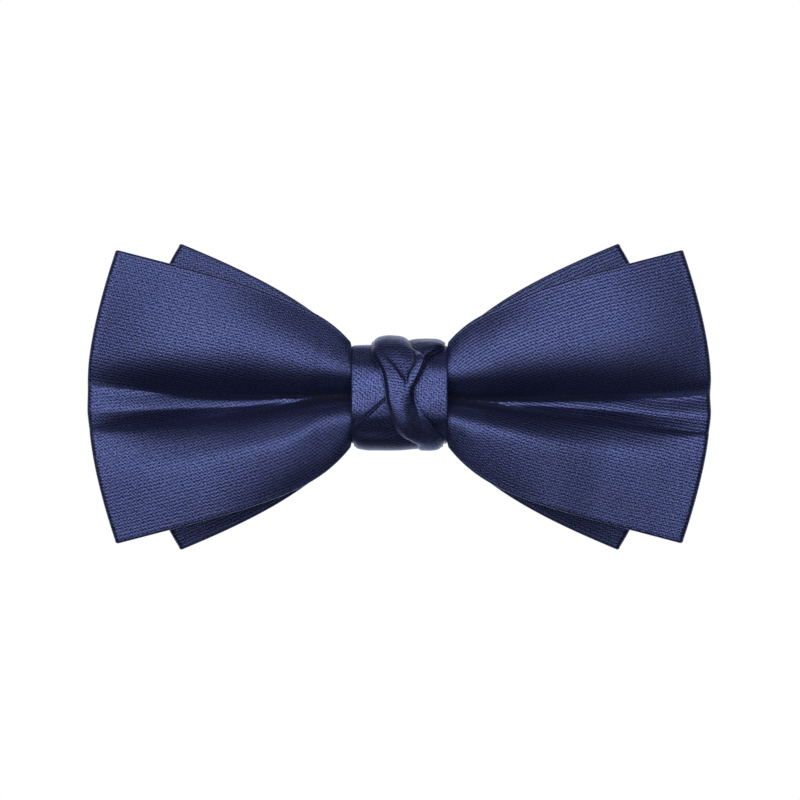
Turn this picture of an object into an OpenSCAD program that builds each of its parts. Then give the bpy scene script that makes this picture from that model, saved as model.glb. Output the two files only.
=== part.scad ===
// Ready-tied bow tie on a snap clip, as worn.
// +X is to the viewer's right, -Y is the front, +Z is up.
// The origin is the middle of the clip bar's rear face, which grips the shirt collar.

/* [Front bow] */
// Length of the front bow, fold to fold at its widest
front_len = 120; // [112:1:126]
// Half of the front bow's height at its corners
front_half_h = 28.4; // [26:0.1:30]
// How far the folded ends bulge past the corners
front_bulge = 5.4; // [4:0.1:6]

/* [Back bow] */
// Length of the back bow, fold to fold at its widest
back_len = 100; // [94:1:104]
// Half of the back bow's height at its corners
back_half_h = 30.2; // [28:0.1:31]
// How far the folded ends bulge past the corners
back_bulge = 7.1; // [6:0.1:8]

/* [Cloth] */
// Thickness of a wing panel: satin, interlining, satin
panel_t = 1; // [0.9:0.05:1.4]
// Thickness of the satin
satin_t = 0.2; // [0.15:0.05:0.25]
// Depth of the pleats at the waist
pleat_depth = 5; // [4:0.1:5]
// Half of the pinched height at the waist
waist_half_h = 8.1; // [7.6:0.1:8.1]

/* [Knot] */
// Width of the band around the middle
knot_w = 18.8; // [17.6:0.2:18.8]
// Top of the band
knot_top = 10.2; // [10.2:0.1:10.6]
// Bottom of the band
knot_bottom = -9.2; // [-9.6:0.1:-9.2]
// Front face of the band
knot_front = -14.4; // [-15:0.1:-14.4]
// Rear face of the band
knot_rear = 1.75; // [1.75:0.05:2]

/* [Clip] */
// Length of the clip bar
bar_len = 62; // [62:1:66]
// Width of the clip bar
bar_w = 9; // [9:0.1:10]
// Thickness of the clip bar
bar_t = 0.8; // [0.7:0.1:0.8]
// Distance of each hinge from the middle
hinge_x = 13.5; // [13.5:0.1:14]
// Height of each hinge pin behind the gripping face
hinge_y = 2.4; // [2.4:0.1:2.8]
// Diameter of the hinge pins
pin_d = 1.5; // [1.2:0.1:1.6]
// Radial running clearance of a jaw on its pin
pin_clear = 0.05; // [0.03:0.01:0.08]

/* [Hidden] */

navy = "#39426f";
navy_dark = "#2a315a";
felt = "#d9d4c8";
steel = "#c9ccd2";

// Half thickness of a panel
D = panel_t / 2;
// Half thickness of the pocket that the interlining lies in
DI = D - satin_t;
wx = 9.4;
AX = 0.6;

// ---- cloth surface of a wing -------------------------------------------
function ex(x, l) = exp(-max(abs(x) - wx, 0) / l);
// half height, b = 1 front bow, 2 back bow
function HH(b, x) = abs(x) <= wx + 0.001 ? waist_half_h :
  b == 1 ? front_half_h - 14.3 + 0.26 * abs(x) - 6.4 * ex(x, 6.6)
         : back_half_h - 15.9 + 0.375 * abs(x) - 8.2 * ex(x, 11.5);
function XE(b, t) = b == 1 ? front_len / 2 - front_bulge * pow(max(abs(t) - 0.08, 0) / 0.92, 1.55)
                           : back_len / 2 - back_bulge * pow(max(abs(t) - 0.08, 0) / 0.92, 2.3);
function XR(b, t) = XE(b, t) - D - AX;
// pleat valley, centre ridge and the backward curl of the edges
function VV(t) = exp(-pow((t + 0.04) / 0.23, 2));
function RR(t) = exp(-pow((t + 0.07) / 0.07, 2));
function EE(t) = pow(max(abs(t) - 0.55, 0) / 0.45, 2);
function YF0(b, x, t) = b == 1
  ? -12.15 - 0.25 * (1 - ex(x, 14)) - 1.6 * sin(180 * min(max((x - wx) / 48.6, 0), 1))
    + pleat_depth * ex(x, 34) * (VV(t) - 0.55 * min(max((x - 24) / 14, 0), 1) * RR(t)) + 2 * EE(t) * (0.5 + 0.5 * ex(x, 9))
  : -8.8 + 2.05 * (1 - ex(x, 14)) + pleat_depth * ex(x, 16) * VV(t) + 2 * ex(x, 9) * EE(t);
function YB0(b, x, t) = b == 1
  ? -10.55 + 2.1 * (1 - ex(x, 14)) + pleat_depth * ex(x, 11) * VV(t) + 2 * ex(x, 9) * EE(t)
  : -7.2 + 4.05 * (1 - ex(x, 9)) + pleat_depth * ex(x, 9) * VV(t) + 2 * ex(x, 9) * EE(t);
// the two panels close up to a pressed fold at the end
function CL(b, x, t) = pow(max(0, (x - XR(b, t) + 16) / 16), 2) * ((YB0(b, x, t) - YF0(b, x, t)) / 2 - 0.6);
function YF(b, x, t) = YF0(b, x, t) + CL(b, x, t);
function YB(b, x, t) = YB0(b, x, t) - CL(b, x, t);
function ZC(x) = 0.45 * ex(x, 8);

// x at place u along a panel: 0 middle, 1 edge of the band, 2 start of the end fold
function XU(b, u, t) = u <= 1 ? wx * u : wx + (XR(b, t) - wx) * (u - 1);

// a point of the loop. st = [kind, value]: 0 rear panel, 1 end fold, 2 front panel.
// dy is the distance outward from the middle of the cloth, inset shortens the height.
function PT(b, st, t, dy, inset) =
  let(xr = XR(b, t), xa = XR(b, 1))
  st[0] == 1
  ? let(yf = YF(b, xr, t), yb = YB(b, xr, t), ym = (yf + yb) / 2, ry = (yb - yf) / 2,
        h = HH(b, xa + AX * cos(st[1])) - inset)
    [xr + (AX + dy) * cos(st[1]), ym + (ry + dy) * sin(st[1]), t * h]
  : let(x = XU(b, st[1], t), h = HH(b, XU(b, st[1], 1)) - inset)
    [x, st[0] == 0 ? YB(b, x, t) + dy : YF(b, x, t) - dy, t * h + ZC(x)];

U = [0.02, 1, 1.04, 1.1, 1.2, 1.38, 1.62, 1.82, 2];
ARC = [60, 20, -20, -60];
T = [-1, -0.7, -0.4, -0.22, -0.07, 0.08, 0.3, 0.65, 1];
NT = len(T);

// half of the loop, from the middle of the rear panel round the end to the middle of the front
HALF = concat([for (u = U) [0, u]], [for (a = ARC) [1, a]], [for (i = [len(U) - 1 : -1 : 1]) [2, U[i]]]);
NH = len(HALF);
// one ring of points across the cloth: outer face up, edge, inner face down, edge
function RING(b, st, d, ins, edge) = concat(
  [for (t = T) PT(b, st, t, d, ins)], [EDGE(b, st, 1, edge)],
  [for (i = [NT - 1 : -1 : 0]) PT(b, st, T[i], -d, ins)], [EDGE(b, st, -1, edge)]);
function EDGE(b, st, s, edge) = let(p = PT(b, st, s, 0, edge)) p;
function FLIP(r) = [for (p = r) [-p[0], p[1], p[2]]];
MIDST = [2, 0];
function LOOP(b, d, ins, edge) = concat(
  [for (st = HALF) RING(b, st, d, ins, edge)],
  [RING(b, MIDST, d, ins, edge)],
  [for (i = [NH - 1 : -1 : 0]) FLIP(RING(b, HALF[i], d, ins, edge))]);

NS = 2 * NH + 1;
NR = 2 * NT + 2;
function FLAT(a) = [for (r = a) for (p = r) p];
function SKIN(o, rev) = [for (i = [0 : NS - 2]) for (j = [0 : NR - 1])
  let(k = (j + 1) % NR, a = o + i * NR + j, c = o + i * NR + k, e = o + (i + 1) * NR + k, f = o + (i + 1) * NR + j)
  each rev ? [[a, e, c], [a, f, e]] : [[a, c, e], [a, e, f]]];

// strip of cloth sewn into a tube and joined into a loop, open only where its ends meet
module satin_loop(b) {
  o = NS * NR;
  outer = FLAT(LOOP(b, D, 0.3, 0));
  inner = FLAT(LOOP(b, DI, satin_t + 0.2, satin_t));
  cap0 = [for (j = [0 : NR - 1]) let(k = (j + 1) % NR) each [[j, o + k, k], [j, o + j, o + k]]];
  q = (NS - 1) * NR;
  cap1 = [for (j = [0 : NR - 1]) let(k = (j + 1) % NR) each [[q + j, q + k, o + q + k], [q + j, o + q + k, o + q + j]]];
  polyhedron(points = concat(outer, inner), faces = concat(SKIN(0, false), SKIN(o, true), cap0, cap1));
}

module lining_loop(b) {
  pts = FLAT(LOOP(b, DI - 0.04, satin_t + 0.27, satin_t + 0.07));
  q = (NS - 1) * NR;
  last = NR - 1;
  function strip(base, rev) = concat(
    [for (i = [0 : NT - 2]) each rev
      ? [[base + i, base + i + 1, base + 2 * NT - 1 - i], [base + 2 * NT - 1 - i, base + 2 * NT - i, base + i]]
      : [[base + i, base + 2 * NT - 1 - i, base + i + 1], [base + 2 * NT - 1 - i, base + i, base + 2 * NT - i]]],
    rev ? [[base + NT - 1, base + NT, base + NT + 1], [base, base + 2 * NT, base + last]]
        : [[base + NT - 1, base + NT + 1, base + NT], [base, base + last, base + 2 * NT]]);
  polyhedron(points = pts, faces = concat(SKIN(0, false), strip(0, false), strip(q, true)));
}

module front_bow_satin() { color(navy) satin_loop(1); }
module front_bow_interlining() { color(felt) lining_loop(1); }
module back_bow_satin() { color(navy_dark) satin_loop(2); }
module back_bow_interlining() { color(felt) lining_loop(2); }

// ---- binding and knot ----------------------------------------------------
// outline across the knot, rounded at the front by rf and at the rear by rr
module outline(y0, y1, zb, zt, rf, rr) {
  for (c = [[y0 + rf, zt - rf], [y0 + rf, zb + rf]]) translate(c) circle(r = rf, $fn = 48);
  for (c = [[y1 - rr, zt - rr], [y1 - rr, zb + rr]]) translate(c) circle(r = rr, $fn = 48);
  polygon([[y0, zt - rf], [y0, zb + rf], [y0 + rf, zb], [y1 - rr, zb], [y1, zb + rr], [y1, zt - rr], [y1 - rr, zt], [y0 + rf, zt]]);
}
module across(w) { translate([-w / 2, 0, 0]) rotate([90, 0, 90]) linear_extrude(height = w) children(); }

module waist_binding_tape() {
  color("#20264a") across(7) difference() {
    outline(-13.35, -0.95, -waist_half_h + 0.05, waist_half_h + 0.9, 2.95, 1.4);
    outline(-13, -1.3, -waist_half_h + 0.4, waist_half_h + 0.55, 2.6, 1.05);
  }
}

bt = 1;
module band_outline(g) { outline(knot_front + g, knot_rear - g, knot_bottom + g, knot_top - g, 4 - g, 2 - g); }

module knot_band_satin() {
  color(navy) difference() {
    across(knot_w) band_outline(0);
    across(knot_w + 2) band_outline(bt + 0.05);
    across(knot_w - 0.6) difference() { band_outline(0.25); band_outline(bt - 0.2); }
    translate([-knot_w, 0.2, 0.4]) cube([2 * knot_w, 3, 0.2]);
  }
}
module knot_band_interlining() {
  color(felt) difference() {
    across(knot_w - 0.8) difference() { band_outline(0.3); band_outline(bt - 0.25); }
    translate([-knot_w, 0.2, 0.2]) cube([2 * knot_w, 3, 0.6]);
  }
}

// places round the band: [y, z, outward y, outward z, place in the tables below]
function corner(cy, cz, r, a, k) = [cy + r * cos(a), cz + r * sin(a), cos(a), sin(a), k];
ft = knot_top - 4;
fb = knot_bottom + 4;
rt = knot_top - 2;
rb = knot_bottom + 2;
WRAP = concat(
  [[knot_rear, 1.2, 1, 0, 0], [knot_rear, 4.5, 1, 0, 1], [knot_rear, rt, 1, 0, 2]],
  [for (a = [22.5 : 22.5 : 90]) corner(knot_rear - 2, rt, 2, a, 2 + a / 45)],
  [[-5, knot_top, 0, 1, 5]],
  [for (a = [90 : 18 : 180]) corner(knot_front + 4, ft, 4, a, 6 + (a - 90) / 22.5)],
  [[knot_front, 3.2, -1, 0, 11], [knot_front, 0.6, -1, 0, 12], [knot_front, -2, -1, 0, 13]],
  [for (a = [180 : 18 : 270]) corner(knot_front + 4, fb, 4, a, 14 + (a - 180) / 22.5)],
  [[-5, knot_bottom, 0, -1, 19]],
  [for (a = [270 : 22.5 : 337.5]) corner(knot_rear - 2, rb, 2, a, 20 + (a - 270) / 45)],
  [[knot_rear, rb, 1, 0, 22], [knot_rear, -3.5, 1, 0, 23], [knot_rear, -0.2, 1, 0, 24]]);
// value of column c of table S at place k
function AT(S, k, c) = let(i = min(floor(k), len(S) - 2)) S[i][c] + (k - i) * (S[i + 1][c] - S[i][c]);
// for each place: middle x, half width, lift off the band
UNDER = [
  [5.4, 3, 0.05], [5.6, 3, 0.05], [5.8, 3, 0.05], [6, 3, 0.05], [6.1, 2.9, 0.05], [6.2, 2.9, 0.05],
  [6.2, 2.9, 0.05], [6.1, 2.9, 0.05], [6, 2.8, 0.05], [5.6, 2.8, 0.05], [4.9, 2.8, 0.05],
  [3.2, 2.8, 0.05], [1.1, 2.8, 0.05], [-1, 3, 0.05],
  [-2.8, 3.4, 0.05], [-3.5, 3.7, 0.05], [-4.1, 4, 0.05], [-4.5, 4.2, 0.05], [-4.7, 4.3, 0.05],
  [-4.7, 4.3, 0.05], [-4.6, 4.1, 0.05], [-4.4, 3.7, 0.05], [-4.3, 3.5, 0.05], [-4.2, 3.4, 0.05], [-4.2, 3.4, 0.05]];
OVER = [
  [-1.6, 3.6, 0.05], [-1.6, 3.7, 0.05], [-1.5, 3.8, 0.05], [-1.4, 3.9, 0.05], [-1.3, 3.9, 0.05], [-1.3, 3.9, 0.05],
  [-1.3, 3.9, 0.05], [-1.3, 3.7, 0.15], [-1.1, 3.5, 0.4], [-0.7, 3.2, 0.8], [-0.2, 3, 1.12],
  [0.3, 2.7, 1.15], [1.1, 2.4, 1.15], [1.9, 2.5, 1.15],
  [3, 2.9, 1.12], [3.5, 3.2, 0.8], [4, 3.5, 0.4], [4.5, 3.8, 0.15], [4.8, 4, 0.05],
  [4.9, 4.1, 0.05], [5, 4.1, 0.05], [5, 4, 0.05], [4.9, 3.9, 0.05], [4.8, 3.8, 0.05], [4.7, 3.6, 0.05]];
// cloth strip of thickness th wrapped round the band
module strand(S, th) {
  n = len(WRAP);
  pts = [for (p = WRAP) let(x = AT(S, p[4], 0), w = AT(S, p[4], 1), g = AT(S, p[4], 2) + 0.03)
    for (c = [[-w, 0.3], [-w, th - 0.35], [-w + 0.5, th], [w - 0.5, th], [w, th - 0.35], [w, 0.3], [w - 0.4, 0], [-w + 0.4, 0]])
      [x + c[0], p[0] + (g + c[1]) * p[2], p[1] + (g + c[1]) * p[3]]];
  skin = [for (i = [0 : n - 2]) for (j = [0 : 7]) let(k = (j + 1) % 8) each
    [[i * 8 + j, (i + 1) * 8 + k, i * 8 + k], [i * 8 + j, (i + 1) * 8 + j, (i + 1) * 8 + k]]];
  polyhedron(points = pts, faces = concat(skin, [[0, 1, 2, 3, 4, 5, 6, 7]], [[for (j = [7 : -1 : 0]) (n - 1) * 8 + j]]));
}
module knot_under_strand() { color(navy_dark) strand(UNDER, 1); }
module knot_over_strand() { color(navy) strand(OVER, 1.2); }

// a stitch lying along Z: length l, thread radius r
module stitch(l, r) {
  translate([0, 0, -l / 2]) cylinder(r = r, h = l, $fn = 16);
  for (s = [-1, 1]) translate([0, 0, s * l / 2]) sphere(r = r, $fn = 16);
}
// threads over the ends of the band and of the two strands, at the middle of the rear
module closing_stitches() {
  color("#161b38") {
    for (x = [-8.9, -8.1]) translate([x, knot_rear + 0.22, 0.5]) stitch(2.2, 0.2);
    for (x = [-3.9, -2.6, 3.4, 4.8, 6.2]) translate([x, knot_rear + 1.5, 0.5]) stitch(4, 0.2);
  }
}

// ---- clip ------------------------------------------------------------------
module mirror_x() { children(); mirror([1, 0, 0]) children(); }

module clip_bar() {
  color(steel) difference() {
    union() {
      translate([-bar_len / 2 + 2, -bar_t, -bar_w / 2]) cube([bar_len - 4, bar_t, bar_w]);
      translate([-bar_len / 2, -bar_t, -bar_w / 2 + 2]) cube([bar_len, bar_t, bar_w - 4]);
      for (x = [-1, 1], z = [-1, 1]) translate([x * (bar_len / 2 - 2), 0, z * (bar_w / 2 - 2)])
        rotate([90, 0, 0]) cylinder(r = 2, h = bar_t, $fn = 40);
      mirror_x() for (z = [-1, 1]) translate([0, 0, z * (bar_w / 2 - 0.4) - 0.4]) {
        translate([hinge_x - 2.2, -bar_t / 2, 0]) cube([4.4, hinge_y + bar_t / 2, 0.8]);
        translate([hinge_x, hinge_y, 0]) cylinder(r = 2.2, h = 0.8, $fn = 48);
      }
    }
    for (x = [-1, 1]) translate([x * hinge_x, hinge_y, -bar_w]) cylinder(d = pin_d + 0.02, h = 2 * bar_w, $fn = 40);
    for (x = [-1, 1]) translate([x * 5, 1, 0]) rotate([90, 0, 0]) cylinder(d = 1.04, h = 3, $fn = 32);
    for (x = [-1, 1], z = [-1, 1]) translate([x * 10.4, 1, z * 2.6]) rotate([90, 0, 0]) cylinder(d = 1.2, h = 3, $fn = 32);
    // grooves that grip the cloth
    mirror_x() for (x = [24, 25.2, 26.4, 27.6, 28.8]) translate([x, 0, -bar_w])
      linear_extrude(height = 2 * bar_w) polygon([[-0.35, 0.1], [0.35, 0.1], [0, -0.3]]);
  }
}

module clip_leaf_spring() {
  color("#9aa0a8") difference() {
    translate([0, 0, -1.8]) linear_extrude(height = 3.6)
      polygon([[-9.6, 0.02], [9.6, 0.02], [11.1, 1.5], [10.88, 1.7], [9.5, 0.32], [-9.5, 0.32], [-10.88, 1.7], [-11.1, 1.5]]);
    for (x = [-1, 1]) translate([x * 5, 1, 0]) rotate([90, 0, 0]) cylinder(d = 1.04, h = 3, $fn = 32);
  }
}

module spring_rivets() {
  color("#b98f4a") for (x = [-1, 1]) translate([x * 5, 0, 0]) {
    translate([0, 0.34, 0]) rotate([90, 0, 0]) cylinder(d = 1, h = 0.34 + bar_t + 0.02, $fn = 32);
    translate([0, 0.64, 0]) rotate([90, 0, 0]) cylinder(d = 2, h = 0.3, $fn = 32);
    translate([0, -bar_t - 0.02, 0]) rotate([90, 0, 0]) cylinder(d = 2, h = 0.28, $fn = 32);
  }
}

module hinge_pin() {
  translate([hinge_x, hinge_y, -bar_w / 2 - 0.02]) cylinder(d = pin_d, h = bar_w + 0.04, $fn = 40);
  for (z = [-bar_w / 2 - 0.42, bar_w / 2 + 0.02]) translate([hinge_x, hinge_y, z]) cylinder(d = 2.4, h = 0.4, $fn = 40);
}
module left_hinge_pin() { color(steel) mirror([1, 0, 0]) hinge_pin(); }
module right_hinge_pin() { color(steel) hinge_pin(); }

tip_x = 30.6;
module jaw() {
  difference() {
    union() {
      for (z = [-3.5, 2.9]) translate([0, 0, z]) linear_extrude(height = 0.6) {
        translate([hinge_x, hinge_y]) circle(r = 1.9, $fn = 48);
        polygon([[hinge_x, hinge_y + 1.9], [hinge_x, hinge_y - 1.9], [hinge_x + 13.5, 0.4], [tip_x, 0.9], [tip_x, 2.6]]);
      }
      translate([0, 0, -3.5]) linear_extrude(height = 7) {
        polygon([[hinge_x, hinge_y + 1.3], [tip_x, 2], [tip_x, 2.6], [hinge_x, hinge_y + 1.9]]);
        polygon([[tip_x - 0.7, 0.35], [tip_x, 0.35], [tip_x, 2.5], [tip_x - 0.7, 2.5]]);
        polygon([[tip_x - 0.3, 2], [tip_x + 1.2, 2.1], [tip_x + 2.4, 3], [tip_x + 2.9, 4.2], [tip_x + 2.3, 4.4], [tip_x + 1.9, 3.4], [tip_x + 1, 2.7], [tip_x - 0.3, 2.6]]);
      }
    }
    translate([hinge_x, hinge_y, -10]) cylinder(d = pin_d + 2 * pin_clear, h = 20, $fn = 40);
    // teeth of the gripping edge
    for (z = [-3.2 : 0.8 : 3.2]) translate([tip_x - 2, 0, z]) rotate([90, 0, 90])
      linear_extrude(height = 3) polygon([[0.2, -0.3], [0.2, 0.3], [0.85, 0]]);
  }
}
module left_jaw() { color(steel) mirror([1, 0, 0]) jaw(); }
module right_jaw() { color(steel) jaw(); }

// thread through the sewing holes, holding the bar to the rear bow
module clip_tack_thread() {
  color("#161b38") for (x = [-10.4, 10.4]) translate([x, 0, 0]) {
    translate([0, 0.24, 0]) stitch(5.2, 0.2);
    for (z = [-2.6, 2.6]) translate([0, 0.24, z]) rotate([90, 0, 0]) cylinder(r = 0.2, h = 1.3, $fn = 16);
  }
}

front_bow_satin();
front_bow_interlining();
back_bow_satin();
back_bow_interlining();
waist_binding_tape();
knot_band_satin();
knot_band_interlining();
knot_under_strand();
knot_over_strand();
closing_stitches();
clip_tack_thread();
clip_bar();
clip_leaf_spring();
spring_rivets();
left_hinge_pin();
right_hinge_pin();
left_jaw();
right_jaw();
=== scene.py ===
import bpy, math
import numpy as np
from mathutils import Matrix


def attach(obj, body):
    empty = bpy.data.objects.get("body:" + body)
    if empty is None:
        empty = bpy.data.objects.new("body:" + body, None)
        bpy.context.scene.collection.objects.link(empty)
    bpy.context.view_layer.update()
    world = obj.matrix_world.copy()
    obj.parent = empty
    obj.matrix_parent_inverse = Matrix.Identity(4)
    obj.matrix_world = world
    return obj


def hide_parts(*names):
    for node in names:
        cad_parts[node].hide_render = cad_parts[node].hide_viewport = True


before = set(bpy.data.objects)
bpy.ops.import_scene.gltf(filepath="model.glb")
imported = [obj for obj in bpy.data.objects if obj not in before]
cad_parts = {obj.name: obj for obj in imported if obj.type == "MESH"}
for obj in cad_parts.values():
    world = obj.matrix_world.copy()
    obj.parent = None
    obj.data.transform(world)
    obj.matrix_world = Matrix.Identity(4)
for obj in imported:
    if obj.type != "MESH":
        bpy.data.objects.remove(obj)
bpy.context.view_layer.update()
MM = 0.001
SC = bpy.context.scene

# ------------------------------------------------------------------ numbers
WX = 9.4          # half width of the band
D = 0.5           # half thickness of a wing panel
SAT = 0.2         # thickness of the satin
AX = 0.6          # half depth of the pressed fold at a wing's end


def ex(x, l):
    return np.exp(-np.maximum(x - WX, 0) / l)


def sstep(a, b, x):
    t = np.clip((x - a) / (b - a), 0, 1)
    return t * t * (3 - 2 * t)


def HH(b, x):
    f = (14.1 + 0.26 * x - 6.4 * ex(x, 6.6)) if b == 1 else (14.3 + 0.375 * x - 8.2 * ex(x, 11.5))
    return 8.1 + (f - 8.1) * sstep(9.05, 9.4, x)


def XE(b, t):
    a = np.maximum(np.abs(t) - 0.08, 0) / 0.92
    return 60 - 5.4 * a ** 1.55 if b == 1 else 50 - 7.1 * a ** 2.3


def XR(b, t):
    return XE(b, t) - D - AX


def VV(t):
    return np.exp(-((t + 0.04) / 0.23) ** 2)


def EE(t):
    return (np.maximum(np.abs(t) - 0.55, 0) / 0.45) ** 2


def pchip(xk, yk, x):
    """Monotone cubic through the knots xk, yk (1-D, rising)."""
    h = np.diff(xk)
    s = np.diff(yk) / h
    m = np.zeros_like(yk)
    same = s[:-1] * s[1:] > 0
    w1, w2 = 2 * h[1:] + h[:-1], h[1:] + 2 * h[:-1]
    m[1:-1][same] = ((w1 + w2)[same]) / (w1[same] / s[:-1][same] + w2[same] / s[1:][same])
    m[0], m[-1] = s[0], s[-1]
    i = np.clip(np.searchsorted(xk, x) - 1, 0, len(xk) - 2)
    t = np.clip((x - xk[i]) / h[i], 0, 1)
    return (yk[i] * (1 + 2 * t) * (1 - t) ** 2 + h[i] * m[i] * t * (1 - t) ** 2
            + yk[i + 1] * t * t * (3 - 2 * t) + h[i] * m[i + 1] * t * t * (t - 1))


KX = np.array([9.4, 14, 20, 29, 38, 48, 57.0])
# The pleat down the middle of each wing of the front bow, read along KX: heights z and depths behind the crown.
# zu, zl: where the upper and lower lobes are fullest; zb, z2: the two valleys; zr: the small ridge between them.
PLEAT = {
    -1: {"zu": (4.8, 5.6, 7.8, 9.6, 9.6, 10.4, 10.9), "zb": (0.0, -0.2, -0.5, -0.5, 0.2, 1.5, 2.6),
         "a": (4.8, 5.3, 6.0, 6.9, 6.6, 4.8, 3.4), "zr": (-0.04, -0.24, -0.9, -1.9, -2.1, -2.5, -2.8),
         "ar": (5.1, 5.6, 6.0, 6.2, 5.1, 3.0, 1.5), "z2": (-0.08, -0.28, -1.3, -3.1, -4.5, -5.6, -6.6),
         "a2": (4.8, 5.3, 6.0, 6.9, 6.7, 4.9, 2.5), "zl": (-4.6, -5.2, -8.6, -10.8, -13.0, -14.5, -16.0),
         "dl": (0.12, 0.2, 0.5, 1.2, 1.9, 1.5, 0.5), "eb": (2.5, 2.7, 3.0, 2.7, 2.6, 2.0, 1.2),
         "et": (2.2, 2.7, 2.9, 2.4, 1.5, 1.1, 0.8)},
    1: {"zu": (4.8, 5.9, 9.0, 10.0, 11.5, 13.5, 15.0), "zb": (-0.6, -1.0, -1.1, -0.7, -0.5, -0.2, 0.8),
        "a": (4.8, 5.4, 6.4, 7.3, 6.8, 6.0, 4.6), "zr": (-0.64, -1.04, -1.5, -2.0, -2.6, -3.1, -3.3),
        "ar": (5.1, 5.7, 6.4, 6.6, 5.4, 3.9, 2.4), "z2": (-0.68, -1.08, -1.9, -3.2, -4.7, -6.4, -7.2),
        "a2": (4.8, 5.4, 6.4, 7.3, 6.7, 5.0, 2.8), "zl": (-4.6, -5.6, -7.0, -9.3, -10.5, -11.0, -11.5),
        "dl": (0.12, 0.2, 0.6, 1.8, 2.9, 2.8, 2.2), "eb": (2.4, 2.6, 3.0, 3.2, 4.0, 3.8, 2.9),
        "et": (2.2, 2.5, 2.2, 1.6, 1.1, 1.1, 1.1)}}
PK = list(PLEAT[1])
PT = {sd: np.array([PLEAT[sd][k] for k in PK], float).T for sd in (1, -1)}


def fx(x, *v):
    return float(pchip(KX, np.array(v, float), np.array([x]))[0])


def pleat(x, side):
    xx = min(max(x, 9.4), 57)
    tab = PT[1 if side > 0 else -1]
    return {k: float(pchip(KX, tab[:, i], np.array([xx]))[0]) for i, k in enumerate(PK)}


def front_fold(x, H, z, side):
    """How far behind its crown the front panel of the front bow lies, at one x and heights z.
    side is 1 on the +X wing and -1 on the other: the two wings were pleated by hand and differ a little."""
    xx = min(max(x, 9.4), 57)
    p = pleat(x, side)
    zu, zb, a, zr, ar, z2, a2, zl, dl, eb, et = (p[k] for k in PK)
    c1, c2 = fx(xx, 0.12, 0.12, 0.12, 0.12, 0.15, 0.3, 0.33), fx(xx, 0.55, 0.55, 0.55, 0.55, 0.52, 0.38, 0.38)
    c3, c4 = 0.62, fx(xx, 0.92, 0.92, 0.92, 0.9, 0.88, 0.76, 0.72)
    k = [(-H, eb)] + [(zl - f * (H + zl), dl + g * (eb - dl)) for f, g in ((0.75, 0.6), (0.5, 0.3), (0.25, 0.1))] \
        + [(z2 + f * (zl - z2), dl + g * (a2 - dl)) for f, g in ((1, 0), (0.8, 0.1), (0.6, 0.22), (0.4, 0.35), (0.25, 0.5), (0.12, 0.7), (0, 1))] \
        + [(z2 + f * (zr - z2), ar + g * (a2 - ar)) for f, g in ((0.3, 0.68), (0.7, 0.24), (1, 0))] \
        + [(zb - c3 * (zb - zr), a - c4 * (a - ar)), (zb - c1 * (zb - zr), a - c2 * (a - ar)), (zb, a)] \
        + [(zb + f * (zu - zb), g * a) for f, g in ((0.1, 0.79), (0.25, 0.5), (0.5, 0.19), (0.75, 0.05), (1, 0))] \
        + [(zu + f * (H - zu), g * et) for f, g in ((0.25, 0.06), (0.5, 0.27), (0.75, 0.62), (1, 1))]
    zk = np.array([q[0] for q in k])
    for i in range(1, len(zk)):
        zk[i] = max(zk[i], zk[i - 1] + 0.004)
    yk = np.array([q[1] for q in k], float)
    i2, ib = 10, 15                              # places of the two valleys in k: the cloth is creased there
    g = np.linspace(-H, H, 321)
    y = np.where(g < zk[i2], pchip(zk[:i2 + 1], yk[:i2 + 1], np.clip(g, -H, zk[i2])),
                 np.where(g < zk[ib], pchip(zk[i2:ib + 1], yk[i2:ib + 1], np.clip(g, zk[i2], zk[ib])),
                          pchip(zk[ib:], yk[ib:], np.clip(g, zk[ib], H))))
    # the lobes are soft; only the valleys and the small ridge keep their shape
    w = np.exp(-np.linspace(-2.6, 2.6, 41) ** 2 / 2)
    n = len(w) // 2
    st = max(1, int(round(1.1 / (2 * H / 320) / (n / 2.6))))
    ys = np.zeros_like(y)
    yp = np.concatenate([2 * y[0] - y[1:n * st + 1][::-1], y, 2 * y[-1] - y[-n * st - 1:-1][::-1]])
    for j in range(len(w)):
        ys += w[j] * yp[j * st:j * st + len(y)]
    ys /= w.sum()
    d = np.maximum(np.maximum(g - zb, z2 - g), 0)
    qe = 0.85 * float(sstep(32, 48, xx))         # the upper crease opens out towards the wing's end
    q = np.maximum(sstep(0.5, 3.0, d), qe * sstep(0.25, 0.8, (g - zk[i2]) / (zk[ib] - zk[i2])))
    gg = np.concatenate([g, [zk[i2], zk[ib]]])
    yy = np.concatenate([y * (1 - q) + ys * q, [yk[i2], yk[ib] * (1 - qe) + np.interp(zk[ib], g, ys) * qe]])
    o = np.argsort(gg)
    return np.interp(np.clip(z, -H, H), gg[o], yy[o])


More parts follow.
